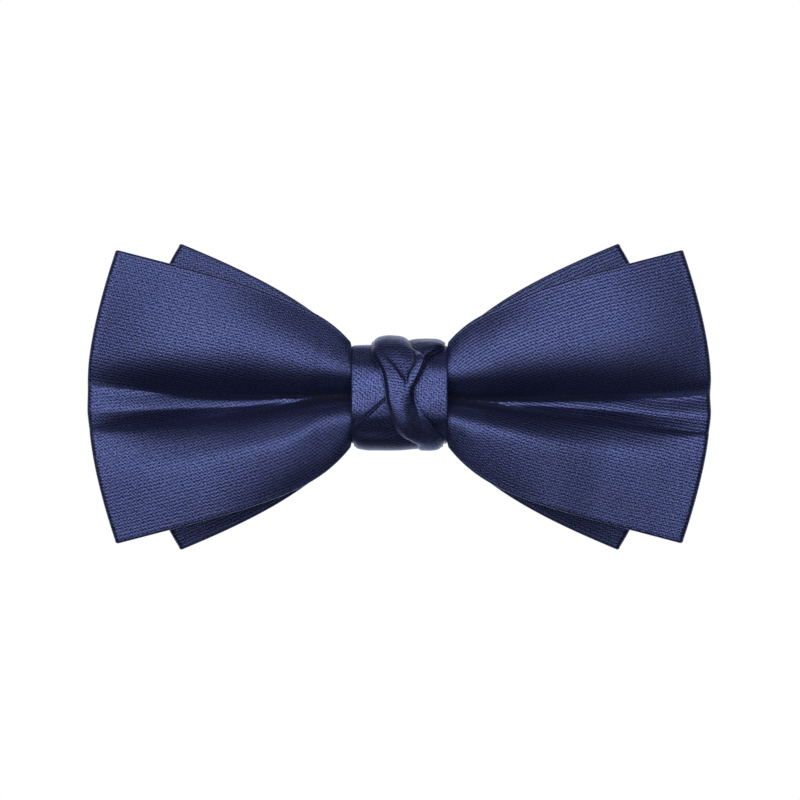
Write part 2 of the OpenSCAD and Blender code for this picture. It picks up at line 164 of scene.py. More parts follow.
def raw_panels(b, x, t, H, side):
    """Depths y of the front and rear panels of bow b before its end fold, at one x and places t."""
    w14, w9 = 1 - ex(x, 14), 1 - ex(x, 9)
    bulge = np.sin(np.pi * np.clip((x - WX) / 48.6, 0, 1))
    f1 = -12.15 - 0.25 * w14 - 1.6 * bulge + front_fold(x, H if b == 1 else float(HH(1, x)), t * H, side)
    rip = ex(x, 10) * sstep(9.0, 11.5, x)
    f1 = f1 + 0.16 * rip * np.cos(9.5 * t + 0.7 * side) * (np.abs(t) > 0.2) \
        + 0.16 * w14 * np.sin(x / 8.1 + 1.7 * side + 2.1 * t) * np.sin(2.3 * t + 0.9)
    b1 = -10.55 + 2.1 * w14 + 5 * ex(x, 11) * VV(t) + 2 * ex(x, 9) * EE(t)
    b1 = np.maximum(b1, f1 + 1.08)
    if b == 1:
        return f1, b1
    f2 = -8.8 + 2.05 * w14 + 5 * ex(x, 16) * VV(t) + 2 * ex(x, 9) * EE(t)
    f2 = f2 + 0.2 * w14 * np.sin(x / 9.3 + 0.8 * side - 1.7 * t)
    f2 = f2 + w14 * (1.9 * np.clip((-t - 0.72) / 0.28, 0, 1) ** 2 + 0.7 * np.clip((t - 0.72) / 0.28, 0, 1) ** 2)
    f2 = np.maximum(f2, b1 + 1.12)
    b2 = -7.2 + 4.05 * w9 + 5 * ex(x, 9) * VV(t) + 2 * ex(x, 9) * EE(t)
    b2 = b2 + 0.22 * w14 * np.sin(x / 10.3 - 0.5 * side + 1.3 * t)
    b2 = np.maximum(b2, f2 + 1.08)
    return f2, b2


T_REF = [-1.0, -0.5, -0.2, -0.05, 0.03, 0.45, 1.0]
TN = (15, 14, 10, 6, 22, 15)                       # rows between the places of T_REF
T = np.concatenate([np.linspace(T_REF[i], T_REF[i + 1], n, endpoint=False) for i, n in enumerate(TN)] + [[1.0]])
NT = len(T)
J_CREASE = (sum(TN[:2]), sum(TN[:4]))              # the rows that follow the two valleys


def t_row(b, x, side):
    """Places across a panel. On the front bow certain rows follow the valleys and the ridge of the pleat."""
    if b == 2:
        return T
    p = pleat(x, side)
    H = float(HH(1, x))
    anc = [-1.0] + [p[k] / H for k in ("zl", "z2", "zr", "zb", "zu")] + [1.0]
    return np.interp(T, T_REF, anc)


U1 = np.array([0.02, 0.25, 0.5, 0.75, 0.95])
U2 = np.concatenate([np.linspace(0, 0.2, 17), np.linspace(0.2, 1, 37)[1:]])
ARC = np.radians([80, 64, 48, 32, 16, 0, -16, -32, -48, -64, -80])


def bow_rings(b, off, inset):
    """Rings of points round the strip of cloth, from the middle of the rear panel right round the loop.
    off is the distance out from the middle of the cloth; inset shortens the height."""
    half = {}
    slims = {1: 0.032, -1: 0.018} if b == 1 else {1: 0.0, -1: 0.0}
    for side in (1, -1):
        sh = 1.0 if side > 0 else -1.0
        xr1 = float(XR(b, np.array([1.0]))[0])
        rows = {"rear": [], "front": []}
        us = [(u, None) for u in U1] + [(None, u) for u in U2]
        mids = []
        for u, v in us:
            if v is None:
                x1 = WX * u
                t = t_row(b, x1, sh)
                xr = XR(b, t)
                X = np.full(NT, x1)
            else:
                x1 = WX + (xr1 - WX) * v
                t = t_row(b, x1, sh)
                xr = XR(b, t)
                X = WX + (xr - WX) * v
            H = float(HH(b, x1))
            if inset > SAT:                      # the interlining stops short of the edges where it runs into the band
                tc = 1 - 1.5 * float(1 - sstep(9.8, 10.8, x1)) / H
                t = np.where(np.abs(t) > 0.6, np.sign(t) * (0.6 + (np.abs(t) - 0.6) * (tc - 0.6) / 0.4), t)
            f, r = raw_panels(b, x1, t, H, sh)
            cl = np.maximum(0, (X - xr + 16) / 16) ** 2 * ((r - f) / 2 - 0.6)
            f, r = f + cl, r - cl
            zc = 0.45 * float(ex(x1, 8))
            mids.append((X, f, r, H, zc, t))
        X, f, r, H, zc, t = mids[-1]
        arc = []
        for a in ARC:
            Ha = float(HH(b, xr1 + AX * math.cos(a)))
            arc.append((a, Ha))
        half[side] = (mids, arc)
    rings = []

    def ring(side, kind, X, ymid, H, zc, t, a=None, ry=None):
        n = 9
        slim = slims[side]
        pts = []
        Hi = H - inset
        edge = off if off < 0.45 else off
        # straight parts keep off from the edge so that the edge can be round
        tz = t * (Hi - edge) + zc
        if slim:
            tz = tz * (1 - slim * math.exp(-((abs(float(X[0])) - 20) / 6) ** 2) * np.clip(t, 0, 1))
        if kind == "arc":
            ox, oy = (AX + off) * math.cos(a), (ry + off) * math.sin(a)
            ix, iy = (AX - off) * math.cos(a), (ry - off) * math.sin(a)
            outer = np.stack([X + ox, ymid + oy, tz], 1)
            inner = np.stack([X + ix, ymid + iy, tz], 1)
        else:
            s = 1 if kind == "rear" else -1
            outer = np.stack([X, ymid + s * off, tz], 1)
            inner = np.stack([X, ymid - s * off, tz], 1)
        ang = np.linspace(0, math.pi, n + 2)[1:-1]

        def cap(po, pi, sign):
            m, v = (po + pi) / 2, (po - pi) / 2
            return [m + v * math.cos(q) + np.array([0, 0, sign * edge * math.sin(q)]) for q in ang]

        pts = list(outer) + cap(outer[-1], inner[-1], 1) + list(inner[::-1]) + cap(inner[0], outer[0], -1)
        pts = np.array(pts)
        pts[:, 0] *= side
        return pts

    def sidewise(side):
        mids, arc = half[side]
        out = [ring(side, "rear", X, r, H, zc, t) for X, f, r, H, zc, t in mids]
        X, f, r, H, zc, t = mids[-1]
        ym, ry = (f + r) / 2, (r - f) / 2
        out += [ring(side, "arc", X, ym, Ha, zc, t, a, ry) for a, Ha in arc]
        out += [ring(side, "front", X, f, H, zc, t) for X, f, r, H, zc, t in mids[::-1]]
        return out

    right, left = sidewise(1), sidewise(-1)
    rings = right + left[::-1]
    return np.array(rings)


def grid_faces(n, m, base, flip=False):
    i, j = np.meshgrid(np.arange(n - 1), np.arange(m), indexing="ij")
    k = (j + 1) % m
    q = np.stack([base + i * m + j, base + i * m + k, base + (i + 1) * m + k, base + (i + 1) * m + j], -1).reshape(-1, 4)
    return q[:, ::-1] if flip else q


def make_mesh(name, verts, faces, uv=None, smooth=True):
    me = bpy.data.meshes.new(name)
    me.from_pydata((np.asarray(verts) * MM).tolist(), [], [list(map(int, f)) for f in faces])
    if uv is not None:
        lay = me.uv_layers.new(name="weave")
        idx = np.zeros(len(me.loops), np.int32)
        me.loops.foreach_get("vertex_index", idx)
        if callable(uv):
            lay.data.foreach_set("uv", uv(idx, me).astype(np.float32).ravel())
        else:
            lay.data.foreach_set("uv", np.asarray(uv, np.float32)[idx].ravel())
    me.validate()
    me.update()
    if smooth:
        me.polygons.foreach_set("use_smooth", np.ones(len(me.polygons), bool))
    ob = bpy.data.objects.new(name, me)
    SC.collection.objects.link(ob)
    return ob


def ring_uv(R, ref, creases=None):
    """u runs along the strip and v across it, both in millimetres of cloth.
    The ribs lie parallel to the long edges and run out of sight into the pleat."""
    n, m, _ = R.shape
    du = np.linalg.norm(np.diff(R, axis=0), axis=2)
    du = np.minimum(du, np.median(du, axis=1, keepdims=True) * 1.6)
    u = np.vstack([np.zeros((1, m)), np.cumsum(du.mean(axis=1, keepdims=True) * np.ones((1, m)), axis=0)])
    dv = np.linalg.norm(np.diff(R, axis=1), axis=2)
    v = np.hstack([np.zeros((n, 1)), np.cumsum(dv, axis=1)])
    L = v[:, NT - 1:NT] - v[:, 0:1]
    Lr = float(L[ref, 0])
    low, up = v - v[:, 0:1] - Lr / 2, v - v[:, NT - 1:NT] + Lr / 2
    if creases is None:
        creases = (NT // 2 - 3, NT // 2 + 3)
    w = np.clip((np.arange(m) - creases[0]) / (creases[1] - creases[0]), 0, 1)[None]
    w = w * w * (3 - 2 * w)
    return np.stack([u, low * (1 - w) + up * w], -1)


def strip_object(name, outer, inner, uvo, uvi=None):
    """A strip of cloth as a flattened tube: outer skin, inner skin, joined at the two cut ends."""
    n, m, _ = outer.shape
    uvi = uvo if uvi is None else uvi
    verts = np.concatenate([outer.reshape(-1, 3), inner.reshape(-1, 3)])
    o = n * m
    j = np.arange(m)
    k = (j + 1) % m
    c0 = np.stack([j, o + j, o + k, k], 1)
    q = (n - 1) * m
    c1 = np.stack([q + j, q + k, o + q + k, o + q + j], 1)
    faces = np.concatenate([grid_faces(n, m, 0), grid_faces(n, m, o, True), c0, c1])
    uv = np.concatenate([uvo.reshape(-1, 2), uvi.reshape(-1, 2)])

    def loops(idx, me):
        w = uv[idx].copy()
        # the last column closes on the first: unwrap it
        col = (idx % m)
        poly = np.repeat(np.arange(len(me.polygons)), np.array([p.loop_total for p in me.polygons]))
        has_last = np.zeros(len(me.polygons), bool)
        np.logical_or.at(has_last, poly, col == m - 1)
        has_first = np.zeros(len(me.polygons), bool)
        np.logical_or.at(has_first, poly, col == 0)
        fix = (has_last & has_first)[poly] & (col == 0)
        w[fix, 1] = uv[idx[fix] + m - 1, 1] + 0.1
        return w

    ob = make_mesh(name, verts, faces, loops)
    return ob


def crease_edges(me, count, m, columns):
    """Pressed creases: the edges along these columns of the outer skin stay sharp."""
    e = np.zeros(len(me.edges) * 2, np.int32)
    me.edges.foreach_get("vertices", e)
    e = e.reshape(-1, 2)
    both = (e < count).all(1) & (e[:, 0] % m == e[:, 1] % m) & np.isin(e[:, 0] % m, columns)
    at = me.attributes.get("sharp_edge") or me.attributes.new("sharp_edge", "BOOLEAN", "EDGE")
    at.data.foreach_set("value", both)
    me.update()


def solid_object(name, R, uv=None):
    """A closed tube with flat caps made of strips (the first and last rings are flattened shapes)."""
    n, m, _ = R.shape
    faces = [list(f) for f in grid_faces(n, m, 0)]
    verts = R.reshape(-1, 3)
    c0, c1 = verts[:m].mean(0), verts[-m:].mean(0)
    verts = np.vstack([verts, c0, c1])
    a, b = n * m, n * m + 1
    q = (n - 1) * m
    for j in range(m):
        k = (j + 1) % m
        faces.append([a, k, j])
        faces.append([b, q + j, q + k])
    return make_mesh(name, verts, faces, None if uv is None else np.vstack([uv.reshape(-1, 2), [[0, 0], [0, 0]]]))


# ------------------------------------------------------------------ materials
def new_mat(name):
    m = bpy.data.materials.new(name)
    m.use_nodes = True
    nt = m.node_tree
    nt.nodes.clear()
    out = nt.nodes.new("ShaderNodeOutputMaterial")
    p = nt.nodes.new("ShaderNodeBsdfPrincipled")
    nt.links.new(p.outputs[0], out.inputs[0])
    return m, nt, p


def node(nt, kind, ins=None, **props):
    n = nt.nodes.new(kind)
    for k, v in props.items():
        setattr(n, k, v)
    for k, v in (ins or {}).items():
        s = n.inputs[k]
        if isinstance(v, bpy.types.NodeSocket):
            nt.links.new(v, s)
        else:
            s.default_value = v
    return n


def math_(nt, op, a, b=None, c=None):
    n = nt.nodes.new("ShaderNodeMath")
    n.operation = op
    for i, v in enumerate((a, b, c)):
        if v is None:
            continue
        if isinstance(v, bpy.types.NodeSocket):
            nt.links.new(v, n.inputs[i])
        else:
            n.inputs[i].default_value = v
    return n.outputs[0]


U_MID = 122.0                                   # where u crosses the middle of the front of a bow


def satin(name, lo, hi, rib=0.65, rough=0.5, bump=0.35, metal=0.9, sheen=0.05, turn=0.0, ribs=0.42, floats=0.42, speck=1.45):
    """Ribbed satin. u and v are millimetres of cloth; the ribs run along u."""
    m, nt, p = new_mat(name)
    uvn = node(nt, "ShaderNodeUVMap", uv_map="weave")
    sep = node(nt, "ShaderNodeSeparateXYZ", {0: uvn.outputs[0]})
    u, v = sep.outputs[0], sep.outputs[1]
    if turn:
        c, s = math.cos(turn), math.sin(turn)
        u2 = math_(nt, "ADD", math_(nt, "MULTIPLY", u, c), math_(nt, "MULTIPLY", v, s))
        v2 = math_(nt, "SUBTRACT", math_(nt, "MULTIPLY", v, c), math_(nt, "MULTIPLY", u, s))
        u, v = u2, v2
    vec = node(nt, "ShaderNodeCombineXYZ", {0: u, 1: v, 2: 0.0})

    def noise(scale, detail=1.0, rough_=0.6, at=vec):
        return node(nt, "ShaderNodeTexNoise", {"Vector": at.outputs[0], "Scale": scale, "Detail": detail, "Roughness": rough_},
                    noise_dimensions="2D").outputs[0]

    def wave(ku, kv, wander):
        ph = math_(nt, "ADD", math_(nt, "ADD", math_(nt, "MULTIPLY", u, ku), math_(nt, "MULTIPLY", v, kv)), wander)
        return math_(nt, "COSINE", math_(nt, "MULTIPLY", ph, 2 * math.pi))

    # slow drift of the threads, so that the ribs are never ruler-straight
    rb = wave(0.0, 1 / rib, math_(nt, "ADD", math_(nt, "MULTIPLY", noise(0.12, 2.0), 0.9), math_(nt, "MULTIPLY", noise(1.6), 0.35)))
    # the floats of the satin cross the ribs on two slants, stronger in some places than in others
    f1 = math_(nt, "MULTIPLY", wave(1.65, -1.25, math_(nt, "MULTIPLY", noise(0.8), 0.9)), math_(nt, "ADD", noise(1.5), 0.5))
    vec2 = node(nt, "ShaderNodeCombineXYZ", {0: math_(nt, "ADD", u, 37.0), 1: v, 2: 0.0})
    f2 = math_(nt, "MULTIPLY", wave(1.05, 1.85, math_(nt, "MULTIPLY", noise(0.8, at=vec2), 0.9)),
               math_(nt, "ADD", noise(1.5, at=vec2), 0.5))
    # uneven yarn: each float catches the light differently
    spv = node(nt, "ShaderNodeCombineXYZ", {0: math_(nt, "MULTIPLY", u, 0.8), 1: v, 2: 0.0})
    spk = noise(3.4, 1.0, 0.6, at=spv)
    # the ribs stand out more on some parts of the cloth than on others
    lo_ = node(nt, "ShaderNodeMapRange", {0: u, 1: U_MID - 10, 2: U_MID + 10, 3: ribs * 0.55, 4: ribs * 0.75})
    hi_ = node(nt, "ShaderNodeMapRange", {0: u, 1: U_MID - 10, 2: U_MID + 10, 3: ribs * 0.9, 4: ribs * 0.45})
    low = node(nt, "ShaderNodeMapRange", {0: v, 1: -6.0, 2: 6.0, 3: lo_.outputs[0], 4: hi_.outputs[0]})
    w = math_(nt, "ADD", math_(nt, "MULTIPLY", rb, low.outputs[0]), math_(nt, "MULTIPLY", math_(nt, "ADD", f1, f2), floats * 0.5))
    w = math_(nt, "ADD", w, math_(nt, "MULTIPLY", math_(nt, "SUBTRACT", spk, 0.5), speck))
    weave = math_(nt, "ADD", w, 0.5)
    shade = math_(nt, "ADD", weave, math_(nt, "MULTIPLY", math_(nt, "SUBTRACT", noise(0.05, 3.0), 0.5), 0.3))
    ramp = node(nt, "ShaderNodeValToRGB", {0: shade})
    cr = ramp.color_ramp
    cr.elements[0].position, cr.elements[0].color = 0.0, (*lo, 1)
    cr.elements[1].position, cr.elements[1].color = 1.0, (*hi, 1)
    nt.links.new(ramp.outputs[0], p.inputs["Base Color"])
    rr = node(nt, "ShaderNodeMapRange", {0: weave, 3: rough + 0.06, 4: rough - 0.05})
    nt.links.new(rr.outputs[0], p.inputs["Roughness"])
    bp = node(nt, "ShaderNodeBump", {"Height": weave, "Strength": bump, "Distance": 0.00008})
    nt.links.new(bp.outputs[0], p.inputs["Normal"])
    p.inputs["Metallic"].default_value = metal
    p.inputs["Specular IOR Level"].default_value = 0.25
    p.inputs["Sheen Weight"].default_value = sheen
    p.inputs["Sheen Roughness"].default_value = 0.35
    p.inputs["Sheen Tint"].default_value = (0.62, 0.64, 0.85, 1)
    return m


def felt_mat():
    m, nt, p = new_mat("interlining_felt")
    tc = node(nt, "ShaderNodeTexCoord")
    n1 = node(nt, "ShaderNodeTexNoise", {"Vector": tc.outputs["Object"], "Scale": 1400.0, "Detail": 4.0})
    ramp = node(nt, "ShaderNodeValToRGB", {0: n1.outputs[0]})
    ramp.color_ramp.elements[0].color = (0.52, 0.5, 0.45, 1)
    ramp.color_ramp.elements[1].color = (0.82, 0.8, 0.74, 1)
    nt.links.new(ramp.outputs[0], p.inputs["Base Color"])
    p.inputs["Roughness"].default_value = 0.95
    bp = node(nt, "ShaderNodeBump", {"Height": n1.outputs[0], "Strength": 0.5, "Distance": 0.0002})
    nt.links.new(bp.outputs[0], p.inputs["Normal"])
    return m


def tape_mat(name, lo, hi):
    m, nt, p = new_mat(name)
    tc = node(nt, "ShaderNodeTexCoord")
    w = node(nt, "ShaderNodeTexWave", {"Vector": tc.outputs["Object"], "Scale": 900.0, "Distortion": 1.5, "Detail": 2.0})
    ramp = node(nt, "ShaderNodeValToRGB", {0: w.outputs[1]})
    ramp.color_ramp.elements[0].color = (*lo, 1)
    ramp.color_ramp.elements[1].color = (*hi, 1)
    nt.links.new(ramp.outputs[0], p.inputs["Base Color"])
    p.inputs["Roughness"].default_value = 0.75
    p.inputs["Specular IOR Level"].default_value = 0.2
    p.inputs["Sheen Weight"].default_value = 0.05
    bp = node(nt, "ShaderNodeBump", {"Height": w.outputs[1], "Strength": 0.5, "Distance": 0.0001})
    nt.links.new(bp.outputs[0], p.inputs["Normal"])
    return m


def metal_mat(name, lo, hi, rough=0.25, scratch=0.12, edge=0.00012):
    m, nt, p = new_mat(name)
    tc = node(nt, "ShaderNodeTexCoord")
    n1 = node(nt, "ShaderNodeTexNoise", {"Vector": tc.outputs["Object"], "Scale": 260.0, "Detail": 5.0})
    mp = node(nt, "ShaderNodeMapping", {"Vector": tc.outputs["Object"], "Scale": (60.0, 900.0, 900.0)})
    n2 = node(nt, "ShaderNodeTexNoise", {"Vector": mp.outputs[0], "Scale": 4.0, "Detail": 3.0})
    ramp = node(nt, "ShaderNodeValToRGB", {0: n1.outputs[0]})
    ramp.color_ramp.elements[0].position, ramp.color_ramp.elements[0].color = 0.3, (*lo, 1)
    ramp.color_ramp.elements[1].position, ramp.color_ramp.elements[1].color = 0.7, (*hi, 1)
    nt.links.new(ramp.outputs[0], p.inputs["Base Color"])
    mix = math_(nt, "ADD", math_(nt, "MULTIPLY", n1.outputs[0], 0.6), math_(nt, "MULTIPLY", n2.outputs[0], 0.4))
    rr = node(nt, "ShaderNodeMapRange", {0: mix, 1: 0.3, 2: 0.7, 3: rough - scratch * 0.5, 4: rough + scratch})
    nt.links.new(rr.outputs[0], p.inputs["Roughness"])
    p.inputs["Metallic"].default_value = 1.0
    bv = node(nt, "ShaderNodeBevel", {"Radius": edge})
    bp = node(nt, "ShaderNodeBump", {"Height": n2.outputs[0], "Strength": 0.12, "Distance": 0.0001, "Normal": bv.outputs[0]})
    nt.links.new(bp.outputs[0], p.inputs["Normal"])
    return m


LO, HI = (0.0047, 0.0063, 0.021), (0.043, 0.053, 0.138)


def mul(c, k):
    return tuple(v * k for v in c)


M_FRONT = satin("satin_front", LO, HI)
# the back bow is the front satin painted 0.77 times darker: painted shade for where it lies behind the front bow
M_BACK_SHADED = satin("satin_back_painted_shade", mul(LO, 0.77), mul(HI, 0.77))
# the band and the over strand are the same satin painted lighter (1.25 and 1.08 times): painted light on the knot
M_BAND_LIT = satin("satin_band_painted_light", mul(LO, 1.25), mul(HI, 1.25), turn=math.radians(130), ribs=0.3, floats=0.3, speck=1.7)
M_OVER_LIT = satin("satin_over_painted_light", mul(LO, 1.08), mul(HI, 1.08), turn=math.radians(90), ribs=0.45)
# the under strand is the same satin painted 0.9 times darker: painted shade where it lies under the over strand
M_UNDER_SHADED = satin("satin_under_painted_shade", mul(LO, 0.9), mul(HI, 0.9), turn=math.radians(90))
M_FELT = felt_mat()
M_TAPE = tape_mat("binding_tape", (0.006, 0.009, 0.03), (0.02, 0.028, 0.08))
M_THREAD = tape_mat("sewing_thread", (0.01, 0.014, 0.045), (0.04, 0.05, 0.14))
M_NICKEL = metal_mat("nickel_plate", (0.36, 0.36, 0.35), (0.5, 0.495, 0.48), rough=0.3)
M_SPRING = metal_mat("spring_steel", (0.3, 0.31, 0.33), (0.46, 0.47, 0.5), rough=0.36)
M_BRASS = metal_mat("brass_rivet", (0.6, 0.42, 0.18), (0.78, 0.58, 0.28), rough=0.3)

# ------------------------------------------------------------------ bows
for b, nm, mat in ((1, "front_bow", M_FRONT), (2, "back_bow", M_BACK_SHADED)):
    outer = bow_rings(b, D, 0.0)
    inner = bow_rings(b, D - SAT, SAT)
    uvo = ring_uv(outer, len(U1) + 2 * len(U2) + len(ARC) + 2, (J_CREASE[1], J_CREASE[1] + 2) if b == 1 else None)
    ob = strip_object(nm + "_satin_cloth", outer, inner, uvo)
    ob.data.materials.append(mat)
    if b == 1:
        crease_edges(ob.data, outer.shape[0] * outer.shape[1], outer.shape[1], J_CREASE)
    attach(ob, "bow")
    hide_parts(nm + "_satin")
    lining = bow_rings(b, D - SAT - 0.05, SAT + 0.07)
    li = solid_object(nm + "_interlining_felt", lining)
    li.data.materials.append(M_FELT)
    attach(li, "bow")
    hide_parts(nm + "_interlining")

# ------------------------------------------------------------------ knot
KT, KB, KF, KR = 10.2, -9.2, -14.4, 1.75
KY, KZ = (KF + KR) / 2, (KT + KB) / 2


def band_profile(n):
    """Outline round the knot in the YZ plane: y, z, outward normals, arc length; from the middle of the rear, up and over."""
    a = np.linspace(0, 2 * np.pi, 6001)
    c, s = np.cos(a), np.sin(a)
    nn = np.where(c < 0, 2.45, 7.0)
    nn = 4.725 + 2.275 * np.tanh(c * 3.0)       # round in front, squarer where it lies on the clip
    r = (np.abs(c) ** nn + np.abs(s) ** nn) ** (-1 / nn)
    y, z = KY + (KR - KF) / 2 * r * c, KZ + (KT - KB) / 2 * r * s
    L = np.concatenate([[0], np.cumsum(np.hypot(np.diff(y), np.diff(z)))])
    g = np.linspace(0, L[-1], n)
    y, z = np.interp(g, L, y), np.interp(g, L, z)
    ty, tz = np.gradient(y), np.gradient(z)
    l = np.hypot(ty, tz)
    ny, nz = tz / l, -ty / l
    if ((y - KY) * ny + (z - KZ) * nz).mean() < 0:
        ny, nz = -ny, -nz
    return y, z, ny, nz, g


BY, BZ, BNY, BNZ, BS = band_profile(420)
BL = BS[-1]
i_mid = int(np.argmin(np.abs(BZ - 0.5) + (BY > KY) * 99))
SM = BS[i_mid] - BS                            # distance from the middle of the front, up is positive
i_top, i_bot = int(np.argmax(BZ)), int(np.argmin(BZ))


def seen_height(off):
    """Height at which a point off the band by off is seen from the front, running on past the top and the bottom."""
    zv = BZ + off * BNZ
    it, ib = int(np.argmax(zv)), int(np.argmin(zv))
    out = zv.copy()
    out[:it] = zv[it] + (BS[it] - BS[:it])
    out[ib:] = zv[ib] - (BS[ib:] - BS[ib])
    return out


def table(keys, rows, at):
    """Rows of values at falling keys, read smoothly at the places at."""
    o = np.argsort(keys)
    k = np.array(keys, float)[o]
    R = np.array(rows, float)[o]
    return np.stack([pchip(k, R[:, j], np.clip(at, k[0], k[-1])) for j in range(R.shape[1])], 1)


def wrap_rings(sel, left, right, lo, hi, q, side_bulge=0.8):
    """Rings round a strip: left and right edge x, under and upper offsets (place, across)."""
    rings = []
    ang = np.linspace(0, np.pi, 11)[1:-1]
    for n_, i in enumerate(sel):
        xx = left[n_] + (right[n_] - left[n_]) * (q + 1) / 2
        top = np.stack([xx, BY[i] + hi[n_] * BNY[i], BZ[i] + hi[n_] * BNZ[i]], 1)
        bot = np.stack([xx, BY[i] + lo[n_] * BNY[i], BZ[i] + lo[n_] * BNZ[i]], 1)

        def cap(po, pi, sx):
            m, v = (po + pi) / 2, (po - pi) / 2
            r = np.linalg.norm(v)
            return [m + v * math.cos(t) + np.array([sx * r * math.sin(t) * side_bulge, 0, 0]) for t in ang]

        rings.append(list(top) + cap(top[-1], bot[-1], 1) + list(bot[::-1]) + cap(bot[0], top[0], -1))
    return np.array(rings)[::-1]


def strip_uv(R, nq, shear=None):
    """Texture place in millimetres: u up the front and over, v across; ribs may lean along the strip."""
    n, m, _ = R.shape
    s = np.concatenate([[0], np.cumsum(np.linalg.norm(np.diff(R[:, nq // 2], axis=0), axis=1))])
    u = np.repeat(s[:, None], m, 1)
    dv = np.linalg.norm(np.diff(R, axis=1), axis=2)
    v = np.hstack([np.zeros((n, 1)), np.cumsum(dv, axis=1)])
    v = v - v[:, nq // 2:nq // 2 + 1]
    if shear is not None:
        u = u + shear[:, None] * v
    return np.stack([u, v], -1)


# the band: satin tube with its interlining; its two ends meet at the middle of the rear
sel = np.arange(len(BS))
qb = np.linspace(-1, 1, 60)
nb = len(sel)
ZB0 = np.where(BY[sel] < -4, BZ[sel], 99.0)
near_slit = sstep(0, 6, np.minimum(BS[sel], BL - BS[sel]))[:, None]
dent = -0.38 * np.exp(-((ZB0 - 8.2) / 1.7) ** 2) - 0.6 * np.exp(-((ZB0 + 6.3) / 1.7) ** 2)
wave = near_slit * (dent[:, None] + 0.10 * np.sin(BS[sel] * 0.5)[:, None] * np.cos(qb * 2.2 + 0.4)[None]
                    + 0.05 * np.sin(BS[sel] * 1.3 + 1.0)[:, None] * np.sin(qb * 5.0)[None])
LB, RB = np.full(nb, -WX + 0.5), np.full(nb, WX - 0.5)
seam = 0.3 * np.exp(-(np.minimum(BS[sel], BL - BS[sel]) / 0.28) ** 2)[:, None]
band_hi = wave - 0.08 - 0.12 * np.abs(qb)[None] ** 6 - seam
one = np.ones((nb, len(qb)))
low = np.minimum(wave, 0)
bo = wrap_rings(sel, LB, RB, one * -1.0 + low, band_hi, qb)
bi = wrap_rings(sel, LB + 0.05, RB - 0.05, one * -0.8 + low, band_hi - 0.2, qb)
band = strip_object("knot_band_satin_cloth", bo, bi, strip_uv(bo, 60))
band.data.materials.append(M_BAND_LIT)
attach(band, "bow")
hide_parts("knot_band_satin")
lin = wrap_rings(sel, LB + 0.2, RB - 0.2, one * -0.74 + low, band_hi - 0.27, qb)
bl = solid_object("knot_band_interlining_felt", lin[8:-8])
bl.data.materials.append(M_FELT)
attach(bl, "bow")
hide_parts("knot_band_interlining")

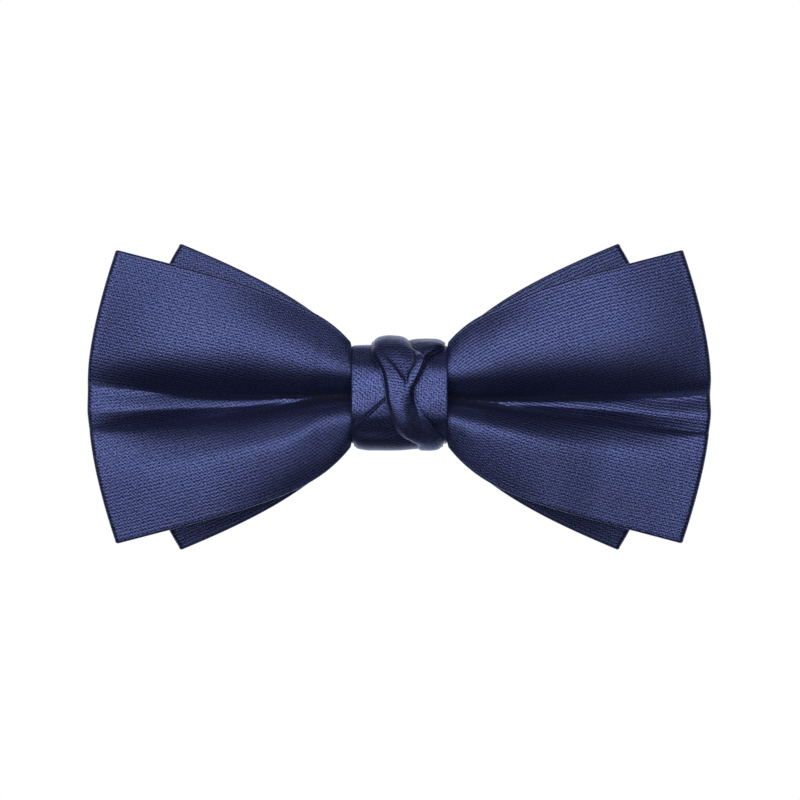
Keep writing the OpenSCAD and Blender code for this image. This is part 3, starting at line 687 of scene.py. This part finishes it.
# the two strands: tables read down the front, by seen height; 7 places across, each x and height off the band
sel = np.where((BS > 0.75) & (BS < BL - 0.75))[0]
ZO = seen_height(1.4)[sel]
ZU = seen_height(0.9)[sel]
OVER = {
    26: [(-5.2, .5), (-4.4, 1.0), (-3.2, 1.15), (-2.4, 1.2), (-1.0, 1.2), (.3, 1.15), (.8, 1.1), (1.3, 1.0), (2.0, .5)],
    14: [(-5.4, .5), (-4.4, 1.1), (-3.0, 1.35), (-2.0, 1.45), (-.8, 1.45), (.4, 1.3), (1.0, 1.2), (1.5, 1.05), (2.2, .7)],
    11.6: [(-5.4, .3), (-4.4, 1.2), (-2.9, 1.6), (-2.0, 1.7), (-.6, 1.65), (.4, 1.5), (.9, 1.35), (1.3, 1.15), (1.8, .8)],
    10.2: [(-5.5, .4), (-4.9, 1.5), (-3.9, 1.85), (-3.0, 1.95), (-.8, 2.0), (.8, 1.8), (1.5, 1.6), (2.0, 1.4), (2.5, .9)],
    9.0: [(-5.4, .6), (-4.9, 1.75), (-4.35, 1.95), (-4.0, 1.95), (-1.0, 2.1), (1.8, 1.9), (2.4, 1.75), (2.9, 1.5), (3.3, 1.0)],
    8.0: [(-5.2, .7), (-4.5, 1.9), (-3.7, 2.05), (-3.4, 1.9), (-.2, 2.0), (2.7, 1.75), (3.1, 2.1), (4.0, 2.3), (4.5, 1.0)],
    7.2: [(-4.9, .7), (-4.1, 2.0), (-2.8, 2.2), (-2.5, 1.9), (.5, 1.95), (3.0, 1.7), (3.3, 2.9), (4.4, 3.15), (4.9, 1.0)],
    6.4: [(-4.5, .8), (-3.6, 2.1), (-1.9, 2.25), (-1.6, 1.85), (1.0, 1.9), (2.9, 1.7), (3.2, 3.05), (4.6, 3.35), (5.05, 1.1)],
    5.2: [(-3.9, .9), (-3.0, 2.3), (-.8, 2.35), (-.5, 1.95), (1.0, 1.9), (2.2, 1.8), (2.5, 2.8), (4.15, 3.15), (4.7, 1.15)],
    4.0: [(-3.45, 1.0), (-2.55, 2.5), (.05, 2.5), (.3, 2.15), (.9, 2.05), (1.5, 2.05), (1.85, 2.6), (3.5, 2.9), (4.2, 1.2)],
    2.8: [(-3.15, 1.15), (-2.3, 2.6), (.95, 2.6), (1.15, 2.4), (1.35, 2.35), (1.5, 2.4), (1.8, 2.6), (2.85, 2.65), (3.6, 1.3)],
    1.6: [(-2.95, 1.2), (-2.15, 2.6), (.2, 2.75), (.9, 2.7), (1.3, 2.65), (1.6, 2.65), (1.95, 2.6), (2.45, 2.35), (3.0, 1.3)],
    -.6: [(-2.7, 1.2), (-1.9, 2.55), (-.5, 2.7), (.4, 2.8), (1.1, 2.7), (1.7, 2.5), (2.2, 2.2), (2.7, 1.75), (3.2, 1.1)],
    -2.4: [(-2.2, 1.1), (-1.5, 2.5), (-.2, 2.75), (.7, 2.75), (1.4, 2.55), (2.1, 2.2), (2.8, 1.8), (3.4, 1.45), (4.1, .95)],
    -4.2: [(-1.6, 1.05), (-.95, 2.4), (.3, 2.75), (1.2, 2.7), (2.0, 2.4), (2.8, 2.0), (3.6, 1.6), (4.4, 1.25), (5.3, .8)],
    -5.8: [(-1.0, .95), (-.4, 2.2), (.7, 2.6), (1.6, 2.5), (2.5, 2.2), (3.4, 1.8), (4.4, 1.45), (5.3, 1.15), (6.4, .7)],
    -7.2: [(-.3, .75), (.3, 1.85), (1.4, 2.2), (2.3, 2.1), (3.3, 1.8), (4.3, 1.5), (5.3, 1.3), (6.2, 1.1), (7.3, .6)],
    -8.4: [(1.4, .5), (2.0, 1.45), (2.9, 1.7), (3.7, 1.65), (4.5, 1.5), (5.4, 1.35), (6.3, 1.2), (7.1, 1.05), (8.2, .5)],
    -9.6: [(2.9, .4), (3.5, 1.15), (4.2, 1.3), (4.9, 1.3), (5.6, 1.25), (6.3, 1.2), (7.0, 1.1), (7.6, .95), (8.45, .4)],
    -13: [(3.4, .3), (4.0, .9), (4.7, 1.05), (5.3, 1.05), (5.9, 1.05), (6.6, 1.0), (7.2, .95), (7.7, .85), (8.3, .35)],
    -26: [(1.0, .3), (1.8, .8), (2.8, .95), (3.9, 1.0), (5.0, 1.0), (6.0, .95), (6.9, .85), (7.5, .75), (8.2, .35)]}
UNDER = {
    26: [(2.4, .3), (3.0, .7), (4.2, .85), (5.4, .9), (6.6, .85), (7.8, .7), (8.4, .3)],
    13: [(2.3, .3), (3.0, .75), (4.2, .9), (5.6, .95), (6.9, .9), (8.0, .7), (8.7, .25)],
    10.9: [(.9, .4), (1.9, .75), (3.5, 1.0), (5.2, 1.1), (6.9, 1.05), (8.0, .8), (8.8, .3)],
    9.9: [(.8, .5), (2.0, .85), (3.6, 1.3), (5.2, 1.5), (6.7, 1.5), (7.9, 1.3), (8.75, .5)],
    9.0: [(.8, .5), (2.0, .9), (3.4, 1.3), (4.8, 1.55), (6.0, 1.65), (7.0, 1.5), (7.6, .7)],
    7.8: [(.8, .5), (1.9, .85), (3.0, 1.1), (4.0, 1.35), (4.8, 1.45), (5.3, 1.3), (5.6, .7)],
    6.0: [(.3, .5), (1.0, .8), (1.9, .95), (2.8, 1.0), (3.6, .95), (4.2, .8), (4.6, .5)],
    2.0: [(-1.4, .4), (-.8, .7), (.1, .9), (1.0, .95), (1.9, .9), (2.5, .7), (2.9, .4)],
    -.2: [(-3.1, .5), (-2.7, 1.0), (-2.2, .8), (-1.3, 1.0), (-.2, 1.0), (.7, .8), (1.5, .4)],
    -1.8: [(-4.9, .5), (-4.4, 1.1), (-3.85, .85), (-2.8, 1.05), (-1.5, 1.05), (-.3, .8), (1.0, .4)],
    -3.7: [(-7.0, .5), (-6.45, 1.1), (-5.85, .8), (-4.6, .95), (-3.0, 1.0), (-1.2, .8), (.8, .4)],
    -5.3: [(-8.7, .5), (-8.2, .9), (-7.6, .55), (-6.0, .55), (-4.0, .6), (-1.6, .6), (.8, .4)],
    -6.8: [(-9.1, .45), (-8.7, .7), (-8.1, .4), (-6.4, .42), (-4.2, .45), (-1.6, .5), (1.4, .4)],
    -8.4: [(-9.0, .4), (-8.6, .8), (-8.0, .75), (-6.4, .9), (-4.0, .95), (-1.0, .9), (3.2, .6)],
    -9.8: [(-8.8, .3), (-8.3, .75), (-7.5, .95), (-6.0, 1.15), (-3.6, 1.15), (-.2, 1.1), (4.2, .8)],
    -13: [(-8.7, .3), (-8.1, .75), (-7.2, .95), (-5.4, 1.05), (-3.2, 1.05), (.2, 1.0), (3.9, .7)],
    -26: [(-7.6, .3), (-7.1, .7), (-6.2, .85), (-4.8, .9), (-3.4, .85), (-1.8, .7), (-1.0, .3)]}


def strand(name, tab, at, lift, mat, cad, nq=84, lean=None):
    keys = list(tab)
    R = table(keys, [[v for pt in tab[k] for v in pt] for k in keys], at)
    X, Hh = R[:, 0::2], R[:, 1::2]
    q = np.linspace(-1, 1, nq)
    # closer together at the edges and folds is not needed at this density
    left, right = X[:, 0], X[:, -1]
    hi = np.zeros((len(at), nq))
    for i in range(len(at)):
        xx = left[i] + (right[i] - left[i]) * (q + 1) / 2
        xk = X[i].copy()
        for j in range(1, X.shape[1]):
            xk[j] = max(xk[j], xk[j - 1] + 0.03)
        hi[i] = pchip(xk, Hh[i], xx)
    # soften along the strip, so that the folds run smoothly from row to row
    for _ in range(4):
        hi[1:-1] = 0.25 * hi[:-2] + 0.5 * hi[1:-1] + 0.25 * hi[2:]
    hi = hi + 0.035 * np.sin(SM[sel] * 0.9)[:, None] * np.sin(q * 4.1 + 0.6)[None]
    lo = np.repeat(table(lift[0], [[v] for v in lift[1]], at), nq, 1)
    lo = lo + 0.12
    hi = np.maximum(hi + 0.03, lo + 0.32)
    left, right = left + 0.18, right - 0.18
    o = wrap_rings(sel, left, right, lo, hi, q)
    i_ = wrap_rings(sel, left + 0.08, right - 0.08, lo + 0.1, hi - 0.1, q)
    shear = None if lean is None else np.tan(np.radians(table(lean[0], [[v] for v in lean[1]], at)[::-1, 0]))
    ob = strip_object(name, o, i_, strip_uv(o, nq, shear))
    ob.data.materials.append(mat)
    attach(ob, "bow")
    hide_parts(cad)
    return ob


us = strand("knot_under_strand_cloth", UNDER, ZU, ([26, -26], [0.0, 0.0]), M_UNDER_SHADED, "knot_under_strand",
            lean=([26, 8, 0, -8, -26], [0, -20, -35, -20, 0]))
ov = strand("knot_over_strand_cloth", OVER, ZO, ([26, 9.5, 7, 5, -3.5, -6, -8.5, -26], [0.0, 0.0, .5, .98, .98, .7, 0.0, 0.0]), M_OVER_LIT,
            "knot_over_strand", lean=([26, 6, 2, -2, -6, -10, -26], [0, 3, 12, 30, 46, 46, 20]))

# ------------------------------------------------------------------ tape and thread
def tube(path, rad, sides=10, flat=None):
    """Points of a tube along path; flat is not used. Open unless closed by the caller."""
    t = np.gradient(path, axis=0)
    t /= np.linalg.norm(t, axis=1, keepdims=True)
    xax = np.array([1.0, 0, 0])
    n = np.cross(t, xax)
    n /= np.maximum(np.linalg.norm(n, axis=1, keepdims=True), 1e-9)
    bn = np.cross(t, n)
    a = np.linspace(0, 2 * np.pi, sides, endpoint=False)
    return path[:, None] + rad * (np.cos(a)[None, :, None] * n[:, None] + np.sin(a)[None, :, None] * bn[:, None])


def tube_mesh(name, tubes):
    verts, faces, base = [], [], 0
    for R in tubes:
        n, m, _ = R.shape
        verts += [R.reshape(-1, 3), R[:1].mean(1), R[-1:].mean(1)]
        faces += [list(f) for f in grid_faces(n, m, base)]
        for j in range(m):
            k = (j + 1) % m
            faces.append([base + n * m, base + k, base + j])
            faces.append([base + n * m + 1, base + (n - 1) * m + j, base + (n - 1) * m + k])
        base += n * m + 2
    return make_mesh(name, np.concatenate(verts), faces)


def plied(path, rad=0.105, off=0.095, pitch=0.9):
    """Two plies twisted round each other along a path."""
    L = np.concatenate([[0], np.cumsum(np.linalg.norm(np.diff(path, axis=0), axis=1))])
    s = np.linspace(0, L[-1], max(24, int(L[-1] / 0.06)))
    c = np.stack([np.interp(s, L, path[:, i]) for i in range(3)], 1)
    t = np.gradient(c, axis=0)
    t /= np.linalg.norm(t, axis=1, keepdims=True)
    n = np.cross(t, np.array([1.0, 0, 0]))
    n /= np.maximum(np.linalg.norm(n, axis=1, keepdims=True), 1e-9)
    bn = np.cross(t, n)
    th = 2 * np.pi * s / pitch
    out = []
    for ph in (0, np.pi):
        q = c + off * (np.cos(th + ph)[:, None] * n + np.sin(th + ph)[:, None] * bn)
        out.append(tube(q, rad, 8))
    return out


def rear_at(tab, key, x):
    r = np.array(tab[key], float)
    return float(np.interp(x, r[:, 0], r[:, 1]))


# threads over the ends of the band and of the strands, at the middle of the rear: each dives into the cloth at both ends
loops = []
q = np.linspace(-1, 1, 41)
for i, x in enumerate((-3.9, -2.6, 3.4, 4.8, 6.2)):
    up = max(rear_at(OVER, 26, x) if -5 < x < 1.8 else 0, rear_at(UNDER, 26, x) if x > 2.4 else 0)
    dn = max(rear_at(OVER, -26, x) if x > 1.2 else 0, rear_at(UNDER, -26, x) if x < -1.2 else 0)
    y = KR + np.where(q > 0, dn + (up - dn) * sstep(-0.4, 0.4, q), dn + (up - dn) * sstep(-0.4, 0.4, q)) + 0.2 - 0.75 * np.abs(q) ** 7
    lean = 0.18 * math.sin(2.1 * i + 0.4)
    loops += plied(np.stack([x + lean * q, y, 0.5 + (1.85 + 0.12 * math.cos(1.7 * i)) * q], 1))
for i, x in enumerate((-8.9, -8.1)):
    y = KR + 0.13 - 0.6 * np.abs(q) ** 7
    loops += plied(np.stack([x + 0.1 * math.sin(i + 1.0) * q, y, 0.5 + 1.1 * q], 1))
st = tube_mesh("closing_stitches_thread", loops)
st.data.materials.append(M_THREAD)
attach(st, "bow")
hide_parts("closing_stitches")

# two turns of thread through each pair of sewing holes of the bar
loops = []
for x in (-10.4, 10.4):
    for dx in (-0.2, 0.2):
        c = [(-1.0, -2.6), (-0.3, -2.6), (0.02, -2.56), (0.2, -2.4), (0.24, -2.1), (0.25, 0.0), (0.24, 2.1), (0.2, 2.4), (0.02, 2.56), (-0.3, 2.6), (-1.0, 2.6)]
        k = np.array(c)
        L = np.concatenate([[0], np.cumsum(np.hypot(np.diff(k[:, 0]), np.diff(k[:, 1])))])
        g = np.linspace(0, L[-1], 80)
        z = np.interp(g, L, k[:, 1])
        loops += plied(np.stack([x + dx + 0.12 * np.sign(dx) * -np.sin(z / 2.6 * 1.2), np.interp(g, L, k[:, 0]), z], 1))
tk = tube_mesh("clip_tack_thread_turns", loops)
tk.data.materials.append(M_THREAD)
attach(tk, "bow")
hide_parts("clip_tack_thread")

# the tape round the waist of both bows, hidden by the knot: 7 mm wide
a = np.linspace(0, 2 * np.pi, 241)
n_ = 6.0 - 1.5 * np.cos(a + np.pi)
r = (np.abs(np.cos(a)) ** n_ + np.abs(np.sin(a)) ** n_) ** (-1 / n_)
yy, zz = -7.15 + 6.0 * r * np.cos(a), 0.475 + 8.33 * r * np.sin(a)
w = np.linspace(-1, 1, 25)
ny, nz = np.gradient(zz), -np.gradient(yy)
l = np.hypot(ny, nz)
ny, nz = ny / l, nz / l
rr = []
for i in range(241):
    h = 0.15 * (1 - 0.5 * np.abs(w) ** 8) * (1 + 0.12 * np.abs(w) ** 20)
    wig = 3.5 * w + 0.05 * math.sin(a[i] * 9)
    top = np.stack([wig, yy[i] + h * ny[i], zz[i] + h * nz[i]], 1)
    bot = np.stack([wig, yy[i] - h * ny[i], zz[i] - h * nz[i]], 1)
    rr.append(np.concatenate([top, bot[::-1]]))
rr = np.array(rr)[2:-2]
tape = tube_mesh("waist_binding_tape_cloth", [rr[::-1]])
tape.data.materials.append(M_TAPE)
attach(tape, "bow")
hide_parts("waist_binding_tape")

# ------------------------------------------------------------------ carried-over CAD nodes
for n, mat in {"clip_bar": M_NICKEL, "clip_leaf_spring": M_SPRING, "spring_rivets": M_BRASS, "left_hinge_pin": M_NICKEL, "right_hinge_pin": M_NICKEL,
               "left_jaw": M_NICKEL, "right_jaw": M_NICKEL}.items():
    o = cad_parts[n]
    if not o.material_slots:
        o.data.materials.append(mat)
    for s in o.material_slots:
        s.material = mat

# ------------------------------------------------------------------ floor, light and camera
floor_me = bpy.data.meshes.new("floor")
floor_me.from_pydata([(-3, -3, -0.3), (3, -3, -0.3), (3, 0.12, -0.3), (-3, 0.12, -0.3)], [], [(0, 1, 2, 3)])
floor = bpy.data.objects.new("floor", floor_me)
SC.collection.objects.link(floor)
fm = bpy.data.materials.new("pale_floor")
fm.use_nodes = True
nt = fm.node_tree
nt.nodes.clear()
out = nt.nodes.new("ShaderNodeOutputMaterial")
lp = node(nt, "ShaderNodeLightPath")
geo = node(nt, "ShaderNodeNewGeometry")
dif = node(nt, "ShaderNodeBsdfDiffuse", {"Color": (0.06, 0.06, 0.062, 1)})
emi = node(nt, "ShaderNodeEmission", {"Color": (1, 1, 1, 1), "Strength": 1.0})
add = node(nt, "ShaderNodeAddShader", {0: dif.outputs[0], 1: emi.outputs[0]})
mx = node(nt, "ShaderNodeMixShader", {0: lp.outputs["Is Camera Ray"], 1: dif.outputs[0], 2: add.outputs[0]})
tr = node(nt, "ShaderNodeBsdfTransparent")
mx2 = node(nt, "ShaderNodeMixShader", {0: geo.outputs["Backfacing"], 1: mx.outputs[0], 2: tr.outputs[0]})
nt.links.new(mx2.outputs[0], out.inputs[0])
floor_me.materials.append(fm)

world = bpy.data.worlds.new("studio")
SC.world = world
world.use_nodes = True
wn = world.node_tree
wn.nodes.clear()
wo = wn.nodes.new("ShaderNodeOutputWorld")
wl = node(wn, "ShaderNodeLightPath")
bg_cam = node(wn, "ShaderNodeBackground", {"Color": (1, 1, 1, 1), "Strength": 1.0})
# a white sweep behind the object: cloth seen edge on picks it up
tc = node(wn, "ShaderNodeTexCoord")
sp = node(wn, "ShaderNodeSeparateXYZ", {0: tc.outputs["Generated"]})
sweep = node(wn, "ShaderNodeMapRange", {0: sp.outputs[1], 1: 0.0, 2: 0.75, 3: 0.015, 4: 2.3}, interpolation_type="SMOOTHSTEP")
bg_amb = node(wn, "ShaderNodeBackground", {"Color": (0.8, 0.86, 1.0, 1), "Strength": sweep.outputs[0]})
wm = node(wn, "ShaderNodeMixShader", {0: wl.outputs["Is Camera Ray"], 1: bg_amb.outputs[0], 2: bg_cam.outputs[0]})
wn.links.new(wm.outputs[0], wo.inputs[0])


def area(name, loc, target, size, power, color=(1, 1, 1), spread=180):
    l = bpy.data.lights.new(name, "AREA")
    l.shape = "RECTANGLE"
    l.size, l.size_y = size
    l.energy = power
    l.color = color
    l.spread = math.radians(spread)
    o = bpy.data.objects.new(name, l)
    SC.collection.objects.link(o)
    from mathutils import Vector
    d = Vector(target) - Vector(loc)
    o.location = loc
    o.rotation_mode = "QUATERNION"
    o.rotation_quaternion = d.to_track_quat("-Z", "Y")
    return o


area("front_softbox", (-0.09, -0.88, 0.15), (0, 0, 0), (1.2, 0.8), 6.8, spread=100)

cam = bpy.data.cameras.new("camera")
cam.lens = 100
cam.sensor_width = 36
cam.clip_start = 0.01
co = bpy.data.objects.new("camera", cam)
SC.collection.objects.link(co)
co.location = (0.0001, -0.4367, -0.0006)
co.rotation_euler = (math.pi / 2, 0, 0)
SC.camera = co
SC.view_settings.view_transform = "Standard"
SC.view_settings.look = "None"
